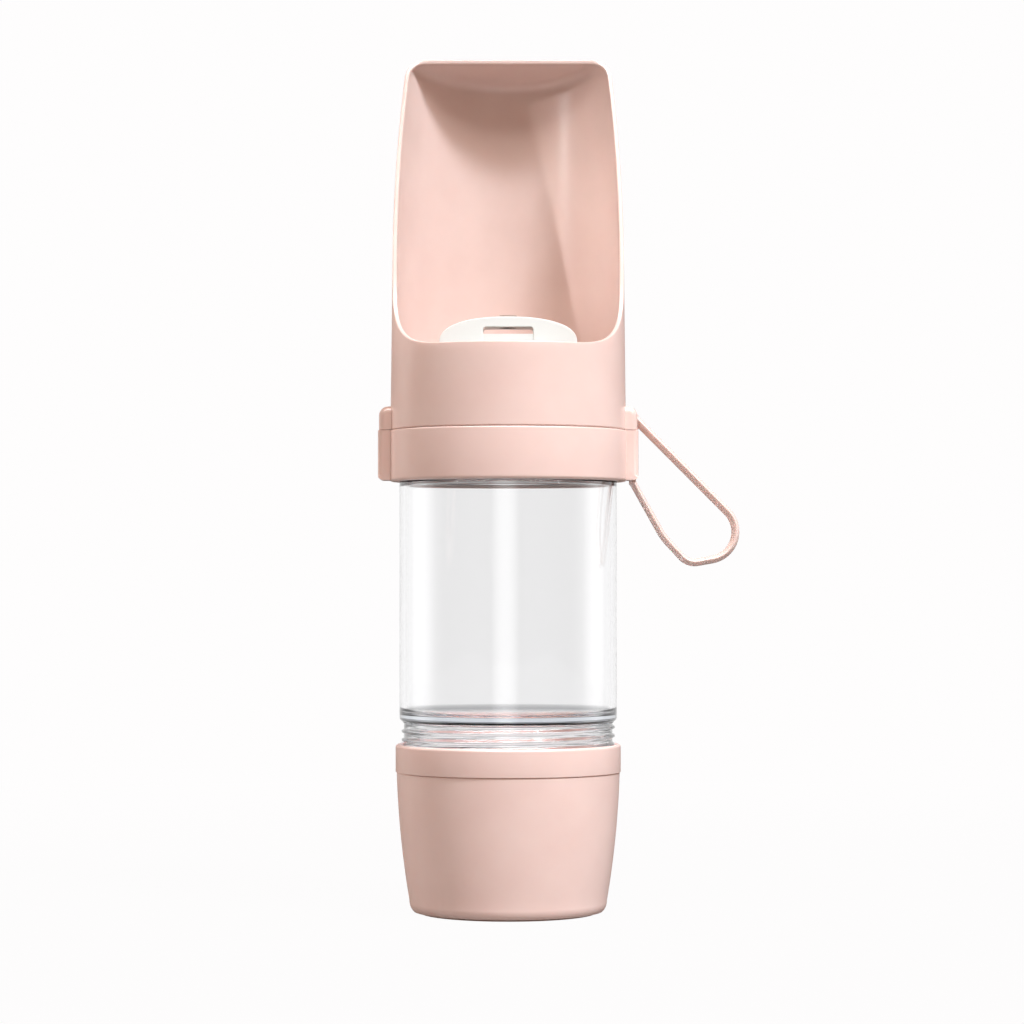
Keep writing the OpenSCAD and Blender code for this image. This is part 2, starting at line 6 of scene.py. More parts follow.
import bpy
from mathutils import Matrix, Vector


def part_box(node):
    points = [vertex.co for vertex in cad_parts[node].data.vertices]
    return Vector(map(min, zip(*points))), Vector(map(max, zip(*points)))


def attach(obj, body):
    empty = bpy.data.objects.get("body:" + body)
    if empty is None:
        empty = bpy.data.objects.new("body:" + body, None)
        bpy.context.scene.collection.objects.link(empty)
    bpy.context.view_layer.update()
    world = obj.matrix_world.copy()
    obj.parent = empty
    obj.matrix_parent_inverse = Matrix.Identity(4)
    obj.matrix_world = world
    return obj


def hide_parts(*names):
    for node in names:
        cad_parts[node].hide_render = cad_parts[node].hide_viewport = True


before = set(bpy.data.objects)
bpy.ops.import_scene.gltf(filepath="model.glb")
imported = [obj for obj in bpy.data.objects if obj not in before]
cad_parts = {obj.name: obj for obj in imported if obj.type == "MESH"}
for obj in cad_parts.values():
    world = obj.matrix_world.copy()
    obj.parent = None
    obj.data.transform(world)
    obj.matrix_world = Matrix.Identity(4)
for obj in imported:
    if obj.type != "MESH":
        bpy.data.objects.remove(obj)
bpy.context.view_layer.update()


# Clear bottle: copolyester, injection moulded in one piece with a threaded neck, a thick floor and a
# short threaded stub below it that takes the food cup. Polished walls, water clear with a cool tint.
mm = 0.001
bottle_low, bottle_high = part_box("bottle")
body_r = bottle_high.x
lip_z = bottle_high.z
stub_low_z = bottle_low.z
bottle_wall = 2 * mm
bottle_floor = 2.3 * mm
neck_height = 12 * mm
neck_r = body_r - 5.6 * mm
stub_r = body_r - 1.3 * mm
stub_height = 12 * mm
body_low_round = 1.6 * mm
shoulder_round = 2.3 * mm
shoulder_z = lip_z - neck_height
floor_z = stub_low_z + stub_height
thread_step = 0.25 * mm
stub_pitch = 2.5 * mm
stub_thread_rise = 0.7 * mm
neck_pitch = 3.5 * mm
neck_thread_rise = 0.9 * mm
clear_tint = "FEFEFE"
stub_in = stub_r - bottle_wall
body_in = body_r - bottle_wall
neck_in = neck_r - bottle_wall
lip_round = 0.4 * mm
inner_low_round = 2.2 * mm
inner_shoulder = shoulder_round - bottle_wall / 2


def bow(x, z, radius, first, last, steps=6):
    """Points of a round stretch of an outline, between two angles in degrees."""
    turns = [math.radians(first + (last - first) * i / steps) for i in range(steps + 1)]
    return [(x + radius * math.cos(a), z + radius * math.sin(a)) for a in turns]


def rows(radius, low, high, step):
    """Close rows of points up or down a wall, fine enough to carry a thread."""
    count = max(1, round(abs(high - low) / step))
    return [(radius, low + (high - low) * i / count) for i in range(count + 1)]


def shade(piece, sharp=32):
    """Smooth shading that keeps the edges sharper than the given angle."""
    bpy.ops.object.select_all(action="DESELECT")
    bpy.context.view_layer.objects.active = piece
    piece.select_set(True)
    bpy.ops.object.shade_smooth_by_angle(angle=math.radians(sharp))
    return piece


def turned(name, outline, steps=192):
    """A solid of revolution: one point is drawn out along the outline and the line is spun round Z."""
    bpy.ops.object.select_all(action="DESELECT")
    bpy.ops.mesh.primitive_plane_add(size=mm)
    piece = bpy.context.object
    piece.name = piece.data.name = name
    bpy.ops.object.mode_set(mode="EDIT")
    bpy.ops.mesh.select_mode(type="VERT")
    bpy.ops.mesh.merge(type="CENTER")
    bpy.ops.transform.translate(value=(outline[0][0], 0, outline[0][1]))
    for (x0, z0), (x1, z1) in zip(outline, outline[1:]):
        bpy.ops.mesh.extrude_vertices_move(TRANSFORM_OT_translate={"value": (x1 - x0, 0, z1 - z0)})
    bpy.ops.mesh.select_all(action="SELECT")
    bpy.ops.mesh.spin(steps=steps, angle=2 * math.pi, center=(0, 0, 0), axis=(0, 0, 1))
    bpy.ops.mesh.select_all(action="SELECT")
    bpy.ops.mesh.remove_doubles(threshold=0.001 * mm)
    bpy.ops.mesh.normals_make_consistent(inside=False)
    bpy.ops.object.mode_set(mode="OBJECT")
    return shade(piece)


def raise_thread(piece, root, low, high, pitch, rise, crest, flank, lead=0.0):
    """A one-start right-hand thread ridge on the turned wall of radius root. A negative rise points
    inwards. The ridge runs out softly at both ends, and lead turns its start in whole turns."""
    for vertex in piece.data.vertices:
        x, y, z = vertex.co
        radius = math.hypot(x, y)
        if abs(radius - root) > 0.01 * mm or not low <= z <= high:
            continue
        turns = (z - low) / pitch - math.atan2(y, x) / (2 * math.pi) - lead
        beside = (turns - round(turns)) * pitch
        middle = z - beside
        run_out = min((middle - low - crest) / (pitch / 10), (high - crest - middle) / (pitch / 10))
        share = min(1, max(0, (crest / 2 + flank - abs(beside)) / flank)) * min(1, max(0, run_out))
        lift = rise * share * share * (3 - 2 * share)
        vertex.co.x *= (radius + lift) / radius
        vertex.co.y *= (radius + lift) / radius
    piece.data.update()


def colour(hex_value):
    """Linear colour of an sRGB hex value."""
    parts = [int(hex_value[i:i + 2], 16) / 255 for i in (0, 2, 4)]
    return [*(c / 12.92 if c <= 0.04045 else ((c + 0.055) / 1.055) ** 2.4 for c in parts), 1]


def add(tree, kind, values=None, links=None, **settings):
    """Adds a node, with its input values, its links from (node, output) and its settings."""
    new = tree.nodes.new("ShaderNode" + kind)
    for name, value in settings.items():
        setattr(new, name, value)
    for name, value in (values or {}).items():
        new.inputs[name].default_value = value
    for name, (source, output) in (links or {}).items():
        tree.links.new(source.outputs[output], new.inputs[name])
    return new


def start_material(name, **sockets):
    """A new material and its tree, with numbers set on the shader's own sockets."""
    material = bpy.data.materials.new(name)
    material.use_nodes = True
    for socket, value in sockets.items():
        material.node_tree.nodes["Principled BSDF"].inputs[socket.replace("_", " ")].default_value = value
    return material, material.node_tree


def join_shader(tree, **links):
    """Links colour, roughness or normal into the shader."""
    shader = tree.nodes["Principled BSDF"]
    for socket, (source, output) in links.items():
        tree.links.new(source.outputs[output], shader.inputs[socket.replace("_", " ")])


bottle = turned("clear_bottle", [
    (0, floor_z),
    *bow(stub_in - lip_round, floor_z - lip_round, lip_round, 90, 0, 3),
    *bow(stub_in + lip_round, stub_low_z + lip_round, lip_round, 180, 270, 3),
    *bow(stub_r - lip_round, stub_low_z + lip_round, lip_round, -90, 0, 3),
    *rows(stub_r, stub_low_z + 2 * lip_round, floor_z - lip_round, thread_step),
    *bow(stub_r + lip_round, floor_z - lip_round, lip_round, 180, 90, 3),
    *bow(body_r - body_low_round, floor_z + body_low_round, body_low_round, -90, 0, 8),
    *bow(body_r - shoulder_round, shoulder_z - shoulder_round, shoulder_round, 0, 90, 10),
    *bow(neck_r + lip_round, shoulder_z + lip_round, lip_round, -90, -180, 3),
    *rows(neck_r, shoulder_z + 2 * lip_round, lip_z - 2 * lip_round, thread_step),
    *bow(neck_r - lip_round, lip_z - lip_round, lip_round, 0, 90, 3),
    *bow(neck_in + lip_round, lip_z - lip_round, lip_round, 90, 180, 3),
    *bow(neck_in - lip_round, shoulder_z - bottle_wall + lip_round, lip_round, 0, -90, 3),
    *bow(body_in - inner_shoulder, shoulder_z - bottle_wall - inner_shoulder, inner_shoulder, 90, 0, 8),
    *bow(body_in - inner_low_round, floor_z + bottle_floor + inner_low_round, inner_low_round, 0, -90, 8),
    (0, floor_z + bottle_floor),
])
raise_thread(bottle, stub_r, stub_low_z + lip_round, floor_z - lip_round, stub_pitch,
             stub_thread_rise, 0.5 * mm, 0.45 * mm, lead=0.1)
raise_thread(bottle, neck_r, shoulder_z + lip_round, lip_z - lip_round, neck_pitch,
             neck_thread_rise, 0.6 * mm, 0.5 * mm)

# Copolyester is clear and bends light like glass. A polished mould leaves a mirror skin, and the
# wall's slow waviness, about 18 mm from crest to crest, is what makes the streaks wander. Rays to the
# lamps pass straight through, so that what is inside and behind the wall stays lit, and long ways
# through the plastic, as in the thick floor, turn a little blue.
clear_plastic, tree = start_material(
    "clear copolyester", Base_Color=colour(clear_tint), Roughness=0.0, IOR=1.5, Transmission_Weight=1.0)
wave_length = 18 * mm
place = add(tree, "TexCoord")
wave = add(tree, "TexNoise", {"Scale": 1 / wave_length, "Detail": 1.0}, {"Vector": (place, "Object")})
bend = add(tree, "Bump", {"Strength": 0.06, "Distance": 0.4 * mm}, {"Height": (wave, "Fac")})
join_shader(tree, Normal=(bend, "Normal"))
ray = add(tree, "LightPath")
open_way = add(tree, "BsdfTransparent", {"Color": colour("CBCED2")})
lets_lamps_in = add(tree, "MixShader", links={
    "Fac": (ray, "Is Shadow Ray"), 1: (tree.nodes["Principled BSDF"], "BSDF"), 2: (open_way, "BSDF")})
tree.links.new(lets_lamps_in.outputs["Shader"], tree.nodes["Material Output"].inputs["Surface"])
depth = add(tree, "VolumeAbsorption", {"Color": colour("BBC8D8"), "Density": 11})
tree.links.new(depth.outputs["Volume"], tree.nodes["Material Output"].inputs["Volume"])
bottle.data.materials.append(clear_plastic)
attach(bottle, "bottle")
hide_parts("bottle")


# Seals of the two threads: flat rings of translucent silicone rubber, cut from sheet. One lies on the
# bottle's lip, the other between the stub and the cup ring's ledge.
silicone, tree = start_material(
    "translucent silicone rubber", Roughness=0.5, IOR=1.41, Subsurface_Weight=0.3,
    Subsurface_Radius=(0.6, 0.6, 0.6), Subsurface_Scale=mm)
bloom_size = 3 * mm
place = add(tree, "TexCoord")
bloom = add(tree, "TexNoise", {"Scale": 1 / bloom_size, "Detail": 4.0}, {"Vector": (place, "Object")})
cloud = add(tree, "ValToRGB", links={"Fac": (bloom, "Fac")})
cloud.color_ramp.elements[0].color = colour("C9C6C1")
cloud.color_ramp.elements[1].color = colour("DEDCD8")
join_shader(tree, Base_Color=(cloud, "Color"))


def dress(node, material):
    """A CAD piece whose shape stands gets its real finish."""
    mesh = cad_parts[node].data
    mesh.materials.clear()
    mesh.materials.append(material)


dress("neck_gasket", silicone)
dress("cup_seal", silicone)


# Food cup's ring: pink polypropylene, moulded with an inner thread for the stub and a spigot that is
# pressed into the cup. It stands a hair proud of the cup, with a softly rounded top edge.
ring_low, ring_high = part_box("cup_ring")
cup_low, cup_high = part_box("food_cup")
ring_r = ring_high.x
ring_foot_z = cup_high.z
ring_top_z = ring_high.z
ring_bore = stub_r + 0.95 * mm
ring_ledge_z = ring_foot_z + 1.2 * mm
ring_hole = ring_bore - 2.85 * mm
ring_top_round = 0.8 * mm
ring_low_round = 0.12 * mm
cup_wall = 1.8 * mm
cup_taper = 3.7 * mm
cup_bulge = 0.65 * mm
foot_round_w = 2.7 * mm
foot_round_h = 3.7 * mm
cup_r = ring_r - 0.3 * mm
ring_gap_z = ring_foot_z + 0.03 * mm
groove_z = ring_low.z + 1.2 * mm
groove_h = 1 * mm
groove_depth = 0.6 * mm
bore_round = 0.3 * mm


def cup_side(z):
    """Outer radius of the food cup: it draws in towards the foot with a slight belly."""
    share = (z - foot_round_h) / (ring_foot_z - foot_round_h)
    return cup_r - cup_taper * (1 - share) + 4 * cup_bulge * share * (1 - share)


spigot_r = cup_side(ring_low.z) - cup_wall - 0.05 * mm
ring = turned("threaded_cup_ring", [
    (ring_hole, ring_low.z),
    (spigot_r - ring_low_round, ring_low.z),
    (spigot_r, ring_low.z + ring_low_round),
    (spigot_r, groove_z),
    (spigot_r - groove_depth, groove_z),
    (spigot_r - groove_depth, groove_z + groove_h),
    (spigot_r, groove_z + groove_h),
    (spigot_r, ring_gap_z),
    (ring_r - ring_low_round, ring_gap_z),
    *bow(ring_r - ring_low_round, ring_gap_z + ring_low_round, ring_low_round, -60, 0, 3),
    *bow(ring_r - ring_top_round, ring_top_z - ring_top_round, ring_top_round, 0, 90, 8),
    *bow(ring_bore + bore_round, ring_top_z - bore_round, bore_round, 90, 180, 4),
    *rows(ring_bore, ring_top_z - 2 * bore_round, ring_ledge_z + 0.2 * mm, thread_step),
    (ring_bore, ring_ledge_z),
    (ring_hole, ring_ledge_z),
    (ring_hole, ring_low.z),
])
ring_thread_z = ring_ledge_z + 0.1 * mm
raise_thread(ring, ring_bore, ring_thread_z, ring_top_z - 0.4 * mm, stub_pitch,
             -stub_thread_rise, 0.3 * mm, 0.3 * mm,
             lead=0.6 + (stub_low_z + lip_round - ring_thread_z) / stub_pitch)

# Polypropylene with a satin tool finish: a soft broad sheen with no mirror in it. The tool's grain is
# about 0.05 mm, drawn at 0.3 mm so that it shows, and the pigment drifts a little over 15 mm.
pink_light = "EFD0C5"
pink_deep = "EBCABF"
grain_size = 0.3 * mm
drift_size = 15 * mm
pink_plastic, tree = start_material(
    "satin polypropylene", Roughness=0.34, IOR=1.49, Subsurface_Weight=0.08,
    Subsurface_Radius=(1.0, 0.5, 0.35), Subsurface_Scale=1.5 * mm)
place = add(tree, "TexCoord")
drift = add(tree, "TexNoise", {"Scale": 1 / drift_size, "Detail": 3.0}, {"Vector": (place, "Object")})
tone = add(tree, "ValToRGB", links={"Fac": (drift, "Fac")})
tone.color_ramp.elements[0].position = 0.3
tone.color_ramp.elements[1].position = 0.7
tone.color_ramp.elements[0].color = colour(pink_deep)
tone.color_ramp.elements[1].color = colour(pink_light)
grain = add(tree, "TexNoise", {"Scale": 1 / grain_size, "Detail": 2.0}, {"Vector": (place, "Object")})
satin = add(tree, "MapRange", {"To Min": 0.3, "To Max": 0.38}, {"Value": (grain, "Fac")})
bump = add(tree, "Bump", {"Strength": 0.12, "Distance": 0.02 * mm}, {"Height": (grain, "Fac")})
join_shader(tree, Base_Color=(tone, "Color"), Roughness=(satin, "Result"), Normal=(bump, "Normal"))
ring.data.materials.append(pink_plastic)
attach(ring, "cup")
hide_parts("cup_ring")


# Food cup: the same polypropylene, a deep cup with a rounded foot, which the whole stack stands on.
# A low gap round the foot draws the thin dark line over the floor. The food goes in once the ring is off.
cup_floor = 2.2 * mm
cup_inner_round = 3 * mm
side_steps = 14
inner_low_z = cup_floor + cup_inner_round
foot_r = cup_side(foot_round_h) - foot_round_w
gap_h = 0.6 * mm
gap_w = 2 * mm
gap_turn = math.degrees(math.acos(1 - gap_h / foot_round_h))
stand_r = foot_r + foot_round_w * math.sin(math.radians(gap_turn)) - gap_w
inner_r = cup_side(inner_low_z) - cup_wall
rim_soft = 0.25 * mm
side_top_z = ring_foot_z - rim_soft
outer_heights = [foot_round_h + (side_top_z - foot_round_h) * i / side_steps
                 for i in range(1, side_steps + 1)]
inner_heights = [side_top_z + (inner_low_z - side_top_z) * i / side_steps for i in range(side_steps)]
cup = turned("food_cup_shell", [
    (0, 0),
    (stand_r, 0),
    (stand_r, gap_h),
    *[(foot_r + foot_round_w * math.sin(a), foot_round_h * (1 - math.cos(a)))
      for a in (math.radians(gap_turn + (90 - gap_turn) * i / 8) for i in range(9))],
    *[(cup_side(z), z) for z in outer_heights],
    (cup_side(ring_foot_z) - rim_soft, ring_foot_z),
    (cup_side(ring_foot_z) - cup_wall + rim_soft, ring_foot_z),
    *[(cup_side(z) - cup_wall, z) for z in inner_heights],
    *bow(inner_r - cup_inner_round, inner_low_z, cup_inner_round, 0, -90, 8),
    (0, cup_floor),
])
cup.data.materials.append(pink_plastic)
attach(cup, "cup")
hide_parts("food_cup")


# Rubber rings: black nitrile o-rings and flat seals, moulded, with a dull skin and a little talc.
nitrile, tree = start_material("nitrile rubber", Roughness=0.62, IOR=1.52)
talc_size = 0.6 * mm
place = add(tree, "TexCoord")
talc = add(tree, "TexNoise", {"Scale": 1 / talc_size, "Detail": 5.0}, {"Vector": (place, "Object")})
dust = add(tree, "ValToRGB", links={"Fac": (talc, "Fac")})
dust.color_ramp.elements[0].color = colour("2B2B2D")
dust.color_ramp.elements[1].color = colour("48484A")
join_shader(tree, Base_Color=(dust, "Color"))
for seal in ("ring_gasket", "scoop_seal", "seat_o_ring", "rotor_o_ring"):
    dress(seal, nitrile)


# Collar: pink polypropylene, a skirt over the bottle's shoulder with a threaded inner skirt and a web
# between them. A lug on each side carries the strap, and two screws go up into the scoop.
collar_low, collar_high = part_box("collar")
scoop_low, scoop_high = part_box("scoop")
seam_z = scoop_low.z
collar_z = collar_low.z
skirt_bore = body_r + 0.4 * mm
collar_r = skirt_bore + 2.5 * mm
lug_face = collar_high.x
web_z = lip_z + 1.4 * mm
web_top_z = collar_high.z
web_r = skirt_bore - 0.4 * mm
mouth_r = neck_in - 1.4 * mm
nut_bore = neck_r + 1.2 * mm
nut_r = nut_bore + 0.48 * (skirt_bore - nut_bore)
nut_z = shoulder_z + 1.5 * mm
skirt_top_z = seam_z - 2.4 * mm
low_edge = 0.9 * mm
top_edge = 0.5 * mm
soft = 0.2 * mm
collar = turned("screw_collar", [
    *bow(skirt_bore + soft, collar_z + soft, soft, 180, 270, 3),
    *bow(collar_r - low_edge, collar_z + low_edge, low_edge, -90, 0, 8),
    *bow(collar_r - top_edge, seam_z - top_edge, top_edge, 0, 90, 6),
    (web_r, seam_z),
    (web_r, web_top_z),
    (mouth_r, web_top_z),
    (mouth_r, web_z),
    (nut_bore, web_z),
    *rows(nut_bore, web_z - soft, nut_z + 2 * soft, thread_step),
    *bow(nut_bore + soft, nut_z + soft, soft, 180, 270, 3),
    *bow(nut_r - soft, nut_z + soft, soft, -90, 0, 3),
    (nut_r, skirt_top_z),
    (skirt_bore, skirt_top_z),
    (skirt_bore, collar_z + soft),
])
raise_thread(collar, nut_bore, nut_z + 2 * soft, web_z - soft, neck_pitch,
             -neck_thread_rise, 0.5 * mm, 0.4 * mm,
             lead=0.5 + (shoulder_z + lip_round - nut_z - 2 * soft) / neck_pitch)

lug_half = 5.6 * mm
lug_root = collar_r - 1.5 * mm
lug_low_z = collar_z + 0.4 * mm


def block(name, low, high):
    """A block between two corners."""
    bpy.ops.object.select_all(action="DESELECT")
    low, high = Vector(low), Vector(high)
    bpy.ops.mesh.primitive_cube_add(size=1, location=(low + high) / 2)
    piece = bpy.context.object
    piece.name = piece.data.name = name
    piece.scale = high - low
    bpy.ops.object.transform_apply(location=True, rotation=True, scale=True)
    return piece


def round_edges(piece, radius, test, steps=4):
    """Rounds the edges whose two ends both pass the test."""
    bpy.ops.object.select_all(action="DESELECT")
    bpy.context.view_layer.objects.active = piece
    piece.select_set(True)
    bpy.ops.object.mode_set(mode="EDIT")
    bpy.ops.mesh.select_mode(type="EDGE")
    bpy.ops.mesh.select_all(action="DESELECT")
    bpy.ops.object.mode_set(mode="OBJECT")
    points = piece.data.vertices
    for line in piece.data.edges:
        ends = [points[i].co for i in line.vertices]
        line.select = test(*ends)
    bpy.ops.object.mode_set(mode="EDIT")
    bpy.ops.mesh.bevel(offset=radius, segments=steps, affect="EDGES", clamp_overlap=False)
    bpy.ops.object.mode_set(mode="OBJECT")


def cut(piece, tool):
    """Cuts the tool's volume out of the piece, and the tool is gone afterwards."""
    bpy.ops.object.select_all(action="DESELECT")
    bpy.context.view_layer.objects.active = piece
    piece.select_set(True)
    cutter = piece.modifiers.new("cut", "BOOLEAN")
    cutter.operation = "DIFFERENCE"
    cutter.solver = "EXACT"
    cutter.object = tool
    bpy.ops.object.modifier_apply(modifier=cutter.name)
    bpy.data.objects.remove(tool)


def rod(name, x, y, radius, low, high, sides=48):
    """An upright round bar, for drilling holes and for the strap's leg."""
    bpy.ops.object.select_all(action="DESELECT")
    bpy.ops.mesh.primitive_cylinder_add(
        vertices=sides, radius=radius, depth=high - low, location=(x, y, (low + high) / 2))
    piece = bpy.context.object
    piece.name = piece.data.name = name
    bpy.ops.object.transform_apply(location=True, rotation=True, scale=True)
    return piece


def welded(name, *parts):
    """The parts of one moulding as one piece."""
    bpy.ops.object.select_all(action="DESELECT")
    for part in parts:
        part.select_set(True)
    bpy.context.view_layer.objects.active = parts[0]
    bpy.ops.object.join()
    parts[0].name = parts[0].data.name = name
    return shade(parts[0])


near = 0.05 * mm
lug_round = 1.5 * mm
lug_low_round = 1.4 * mm
leg_x = lug_face - 1.6 * mm
leg_r = 1 * mm
leg_fit = 0.08 * mm
collar_parts = [collar]
for side in (-1, 1):
    lug = block("collar_lug", (min(side * lug_root, side * lug_face), -lug_half, lug_low_z),
                (max(side * lug_root, side * lug_face), lug_half, seam_z - near))
    round_edges(lug, lug_low_round, lambda a, b: max(a.z, b.z) < lug_low_z + near
                and min(abs(a.x), abs(b.x)) > lug_face - near, 6)
    round_edges(lug, lug_round, lambda a, b: min(abs(a.x), abs(b.x)) > lug_face - near
                and abs(a.y - b.y) < near, 5)
    collar_parts.append(lug)
cut(collar_parts[2], rod("leg_hole", leg_x, 0, leg_r + leg_fit, lug_low_z - mm, seam_z + mm))
screw_angle = math.radians(9)
screw_ring = collar_r - 1.2 * mm
screw_hole_r = 1.1 * mm
screw_hole_depth = 4.5 * mm
for side in (-1, 1):
    x, y = side * screw_ring * math.cos(screw_angle), -screw_ring * math.sin(screw_angle)
    for part in (collar, collar_parts[1 if side < 0 else 2]):
        cut(part, rod("screw_hole", x, y, screw_hole_r, collar_z - mm, collar_z + screw_hole_depth))
collar = welded("screw_collar", *collar_parts)
collar.data.materials.clear()
collar.data.materials.append(pink_plastic)
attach(collar, "head")
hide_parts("collar")


# Scoop: pink polypropylene, a tall trough the dog drinks from. Its slanted mouth is cut from a tapering
# tube that is closed at the top, the rim is rounded over, and the trough's floor carries the valve.
scoop_wall = 1.3 * mm
scoop_r = collar_r - 0.3 * mm
scoop_taper = 1.3 * mm
top_z = scoop_high.z
top_round = 4.6 * mm
seam_gap = 0.12 * mm
rim_z = seam_z + 23.85 * mm
rim_round = 25 * mm
rim_lean = math.radians(14.5)
rim_top_depth = 13.8 * mm
trough_z = seam_z + 18 * mm
trough_floor = 2 * mm
trough_round = 3 * mm
seat_hole_r = 18.5 * mm
columns = 288
levels = 96
rim_band = 2.2 * mm
rim_edge = 0.35 * mm


def scoop_side(z):
    """Outer radius of the scoop's wall."""
    return scoop_r - scoop_taper * (z - seam_z) / (top_z - seam_z)


side_top_r = scoop_side(top_z - top_round)
side_length = math.hypot(top_z - top_round - seam_z - seam_gap, scoop_r - side_top_r)
corner_length = top_round * math.pi / 2
crown_length = side_top_r - top_round


def up_the_scoop(length):
    """Radius and height at a length measured up the wall, round the corner and in over the top."""
    if length <= side_length:
        z = seam_z + seam_gap + (top_z - top_round - seam_z - seam_gap) * length / side_length
        return scoop_side(z), z
    if length <= side_length + corner_length:
        a = (length - side_length) / top_round
        return side_top_r - top_round + top_round * math.cos(a), top_z - top_round + top_round * math.sin(a)
    return side_top_r - top_round - (length - side_length - corner_length), top_z


def mouth_depth(z):
    """How far back the slanted mouth reaches at a height, from the front rim's curve to the straight."""
    if z <= rim_z:
        return -2 * collar_r
    straight_z = rim_z + rim_round * (1 - math.sin(rim_lean))
    if z >= straight_z:
        return rim_top_depth - (top_z - z) * math.tan(rim_lean)
    middle = rim_top_depth - (top_z - straight_z) * math.tan(rim_lean) - rim_round * math.cos(rim_lean)
    return middle + math.sqrt(max(0, rim_round ** 2 - (rim_z + rim_round - z) ** 2))


def rim_length(turn):
    """Length up the scoop at which the mouth's edge crosses the wall at an angle from the back."""
    low, high = 0, side_length + corner_length + crown_length
    for _ in range(40):
        middle = (low + high) / 2
        r, z = up_the_scoop(middle)
        if r * math.cos(turn) < mouth_depth(z):
            high = middle
        else:
            low = middle
    return low


def laid(name, across, along, form):
    """A fine grid whose points are laid on a form, a function of two shares from 0 to 1."""
    bpy.ops.object.select_all(action="DESELECT")
    bpy.ops.mesh.primitive_grid_add(x_subdivisions=across, y_subdivisions=along, size=1)
    piece = bpy.context.object
    piece.name = piece.data.name = name
    for point in piece.data.vertices:
        point.co = form(point.co.x + 0.5, point.co.y + 0.5)
    bpy.ops.object.mode_set(mode="EDIT")
    bpy.ops.mesh.select_mode(type="VERT")
    bpy.ops.mesh.select_all(action="SELECT")
    bpy.ops.mesh.remove_doubles(threshold=0.001 * mm)
    bpy.ops.mesh.normals_make_consistent(inside=False)
    bpy.ops.object.mode_set(mode="OBJECT")
    return piece


lengths = {}


def scoop_skin(u, v):
    """The outside of the scoop: u goes round from the back, v from the seam up to the rim."""
    column = round(u * columns)
    turn = 2 * math.pi * u
    if column not in lengths:
        lengths[column] = rim_length(turn)
    level = round(v * levels)
    full = lengths[column]
    length = full if level == levels else (full - rim_band) * level / (levels - 1)
    r, z = up_the_scoop(length)
    return Vector((r * math.sin(turn), r * math.cos(turn), z))


shell = laid("scoop_shell", columns, levels, scoop_skin)
walls = shell.modifiers.new("wall", "SOLIDIFY")
walls.thickness = scoop_wall
walls.offset = -1
walls.use_even_offset = True
bpy.ops.object.modifier_apply(modifier=walls.name)
rounding = shell.modifiers.new("rim", "BEVEL")
rounding.width = rim_edge
rounding.segments = 5
rounding.limit_method = "ANGLE"
rounding.angle_limit = math.radians(50)
rounding.use_clamp_overlap = False
bpy.ops.object.modifier_apply(modifier=rounding.name)
# The ceiling falls towards the back: the inner skin's top is squeezed down, the outer skin stays.
ceiling_z = top_z - scoop_wall
ceiling_reach = 12 * mm
ceiling_fall = 0.25
for point in shell.data.vertices:
    from_corner = math.hypot(max(0, point.co.xy.length - side_top_r + top_round),
                             max(0, point.co.z - top_z + top_round))
    rise = point.co.z - ceiling_z + ceiling_reach
    if from_corner < top_round - scoop_wall / 2 and rise > 0:
        fall = ceiling_fall * max(0, point.co.y - rim_top_depth - scoop_wall)
        point.co.z -= fall * rise / ceiling_reach

chamber_r = scoop_side(trough_z) - scoop_wall
floor_ring = turned("trough_floor", [
    *bow(seat_hole_r + soft, trough_z - soft, soft, 90, 180, 3),
    (seat_hole_r, trough_z - trough_floor),
    (chamber_r + scoop_wall / 2, trough_z - trough_floor),
    (chamber_r + scoop_wall / 2, trough_z + trough_round),
    *bow(chamber_r + 0.02 * mm - trough_round, trough_z + trough_round, trough_round, 0, -90, 8),
    (seat_hole_r + soft, trough_z),
])
ledge_z = web_top_z + 1 * mm
ledge_h = 2 * mm
socket_r = web_r + 0.05 * mm
ledge_r = socket_r - 2.75 * mm
ledge = turned("inner_ledge", [
    (socket_r, seam_z + seam_gap),
    (scoop_r - scoop_wall / 2, seam_z + seam_gap + near),
    (scoop_r - scoop_wall / 2, ledge_z + ledge_h),
    (ledge_r, ledge_z + ledge_h),
    (ledge_r, ledge_z),
    (socket_r, ledge_z),
    (socket_r, seam_z + seam_gap),
])
upper_lug_h = 6.9 * mm
upper_lug_face = lug_face - 0.3 * mm
upper_lug_root = scoop_r - 0.7 * mm
dome_round = 2.7 * mm
upper_round = 1.8 * mm
pocket_half = 3.6 * mm
pocket_z = seam_z + 5.1 * mm
pocket_depth = 2.3 * mm
scoop_parts = [shell, floor_ring, ledge]
for side in (-1, 1):
    xs = sorted((side * upper_lug_root, side * upper_lug_face))
    lug = block("scoop_lug", (xs[0], -lug_half, seam_z + seam_gap), (xs[1], lug_half, seam_z + upper_lug_h))
    round_edges(lug, dome_round, lambda a, b: min(a.z, b.z) > seam_z + upper_lug_h - near
                and min(abs(a.x), abs(b.x)) > upper_lug_face - near, 10)
    round_edges(lug, upper_round, lambda a, b: abs(a.y - b.y) < near
                and max(abs(a.x), abs(b.x)) > upper_lug_root + near
                and max(a.z, b.z) > seam_z + seam_gap + near, 5)
    if side > 0:
        cut(lug, block("pocket", (leg_x - pocket_depth, -pocket_half, seam_z - mm),
                       (lug_face + mm, pocket_half, pocket_z)))
    scoop_parts.append(lug)
scoop = welded("drinking_scoop", *scoop_parts)

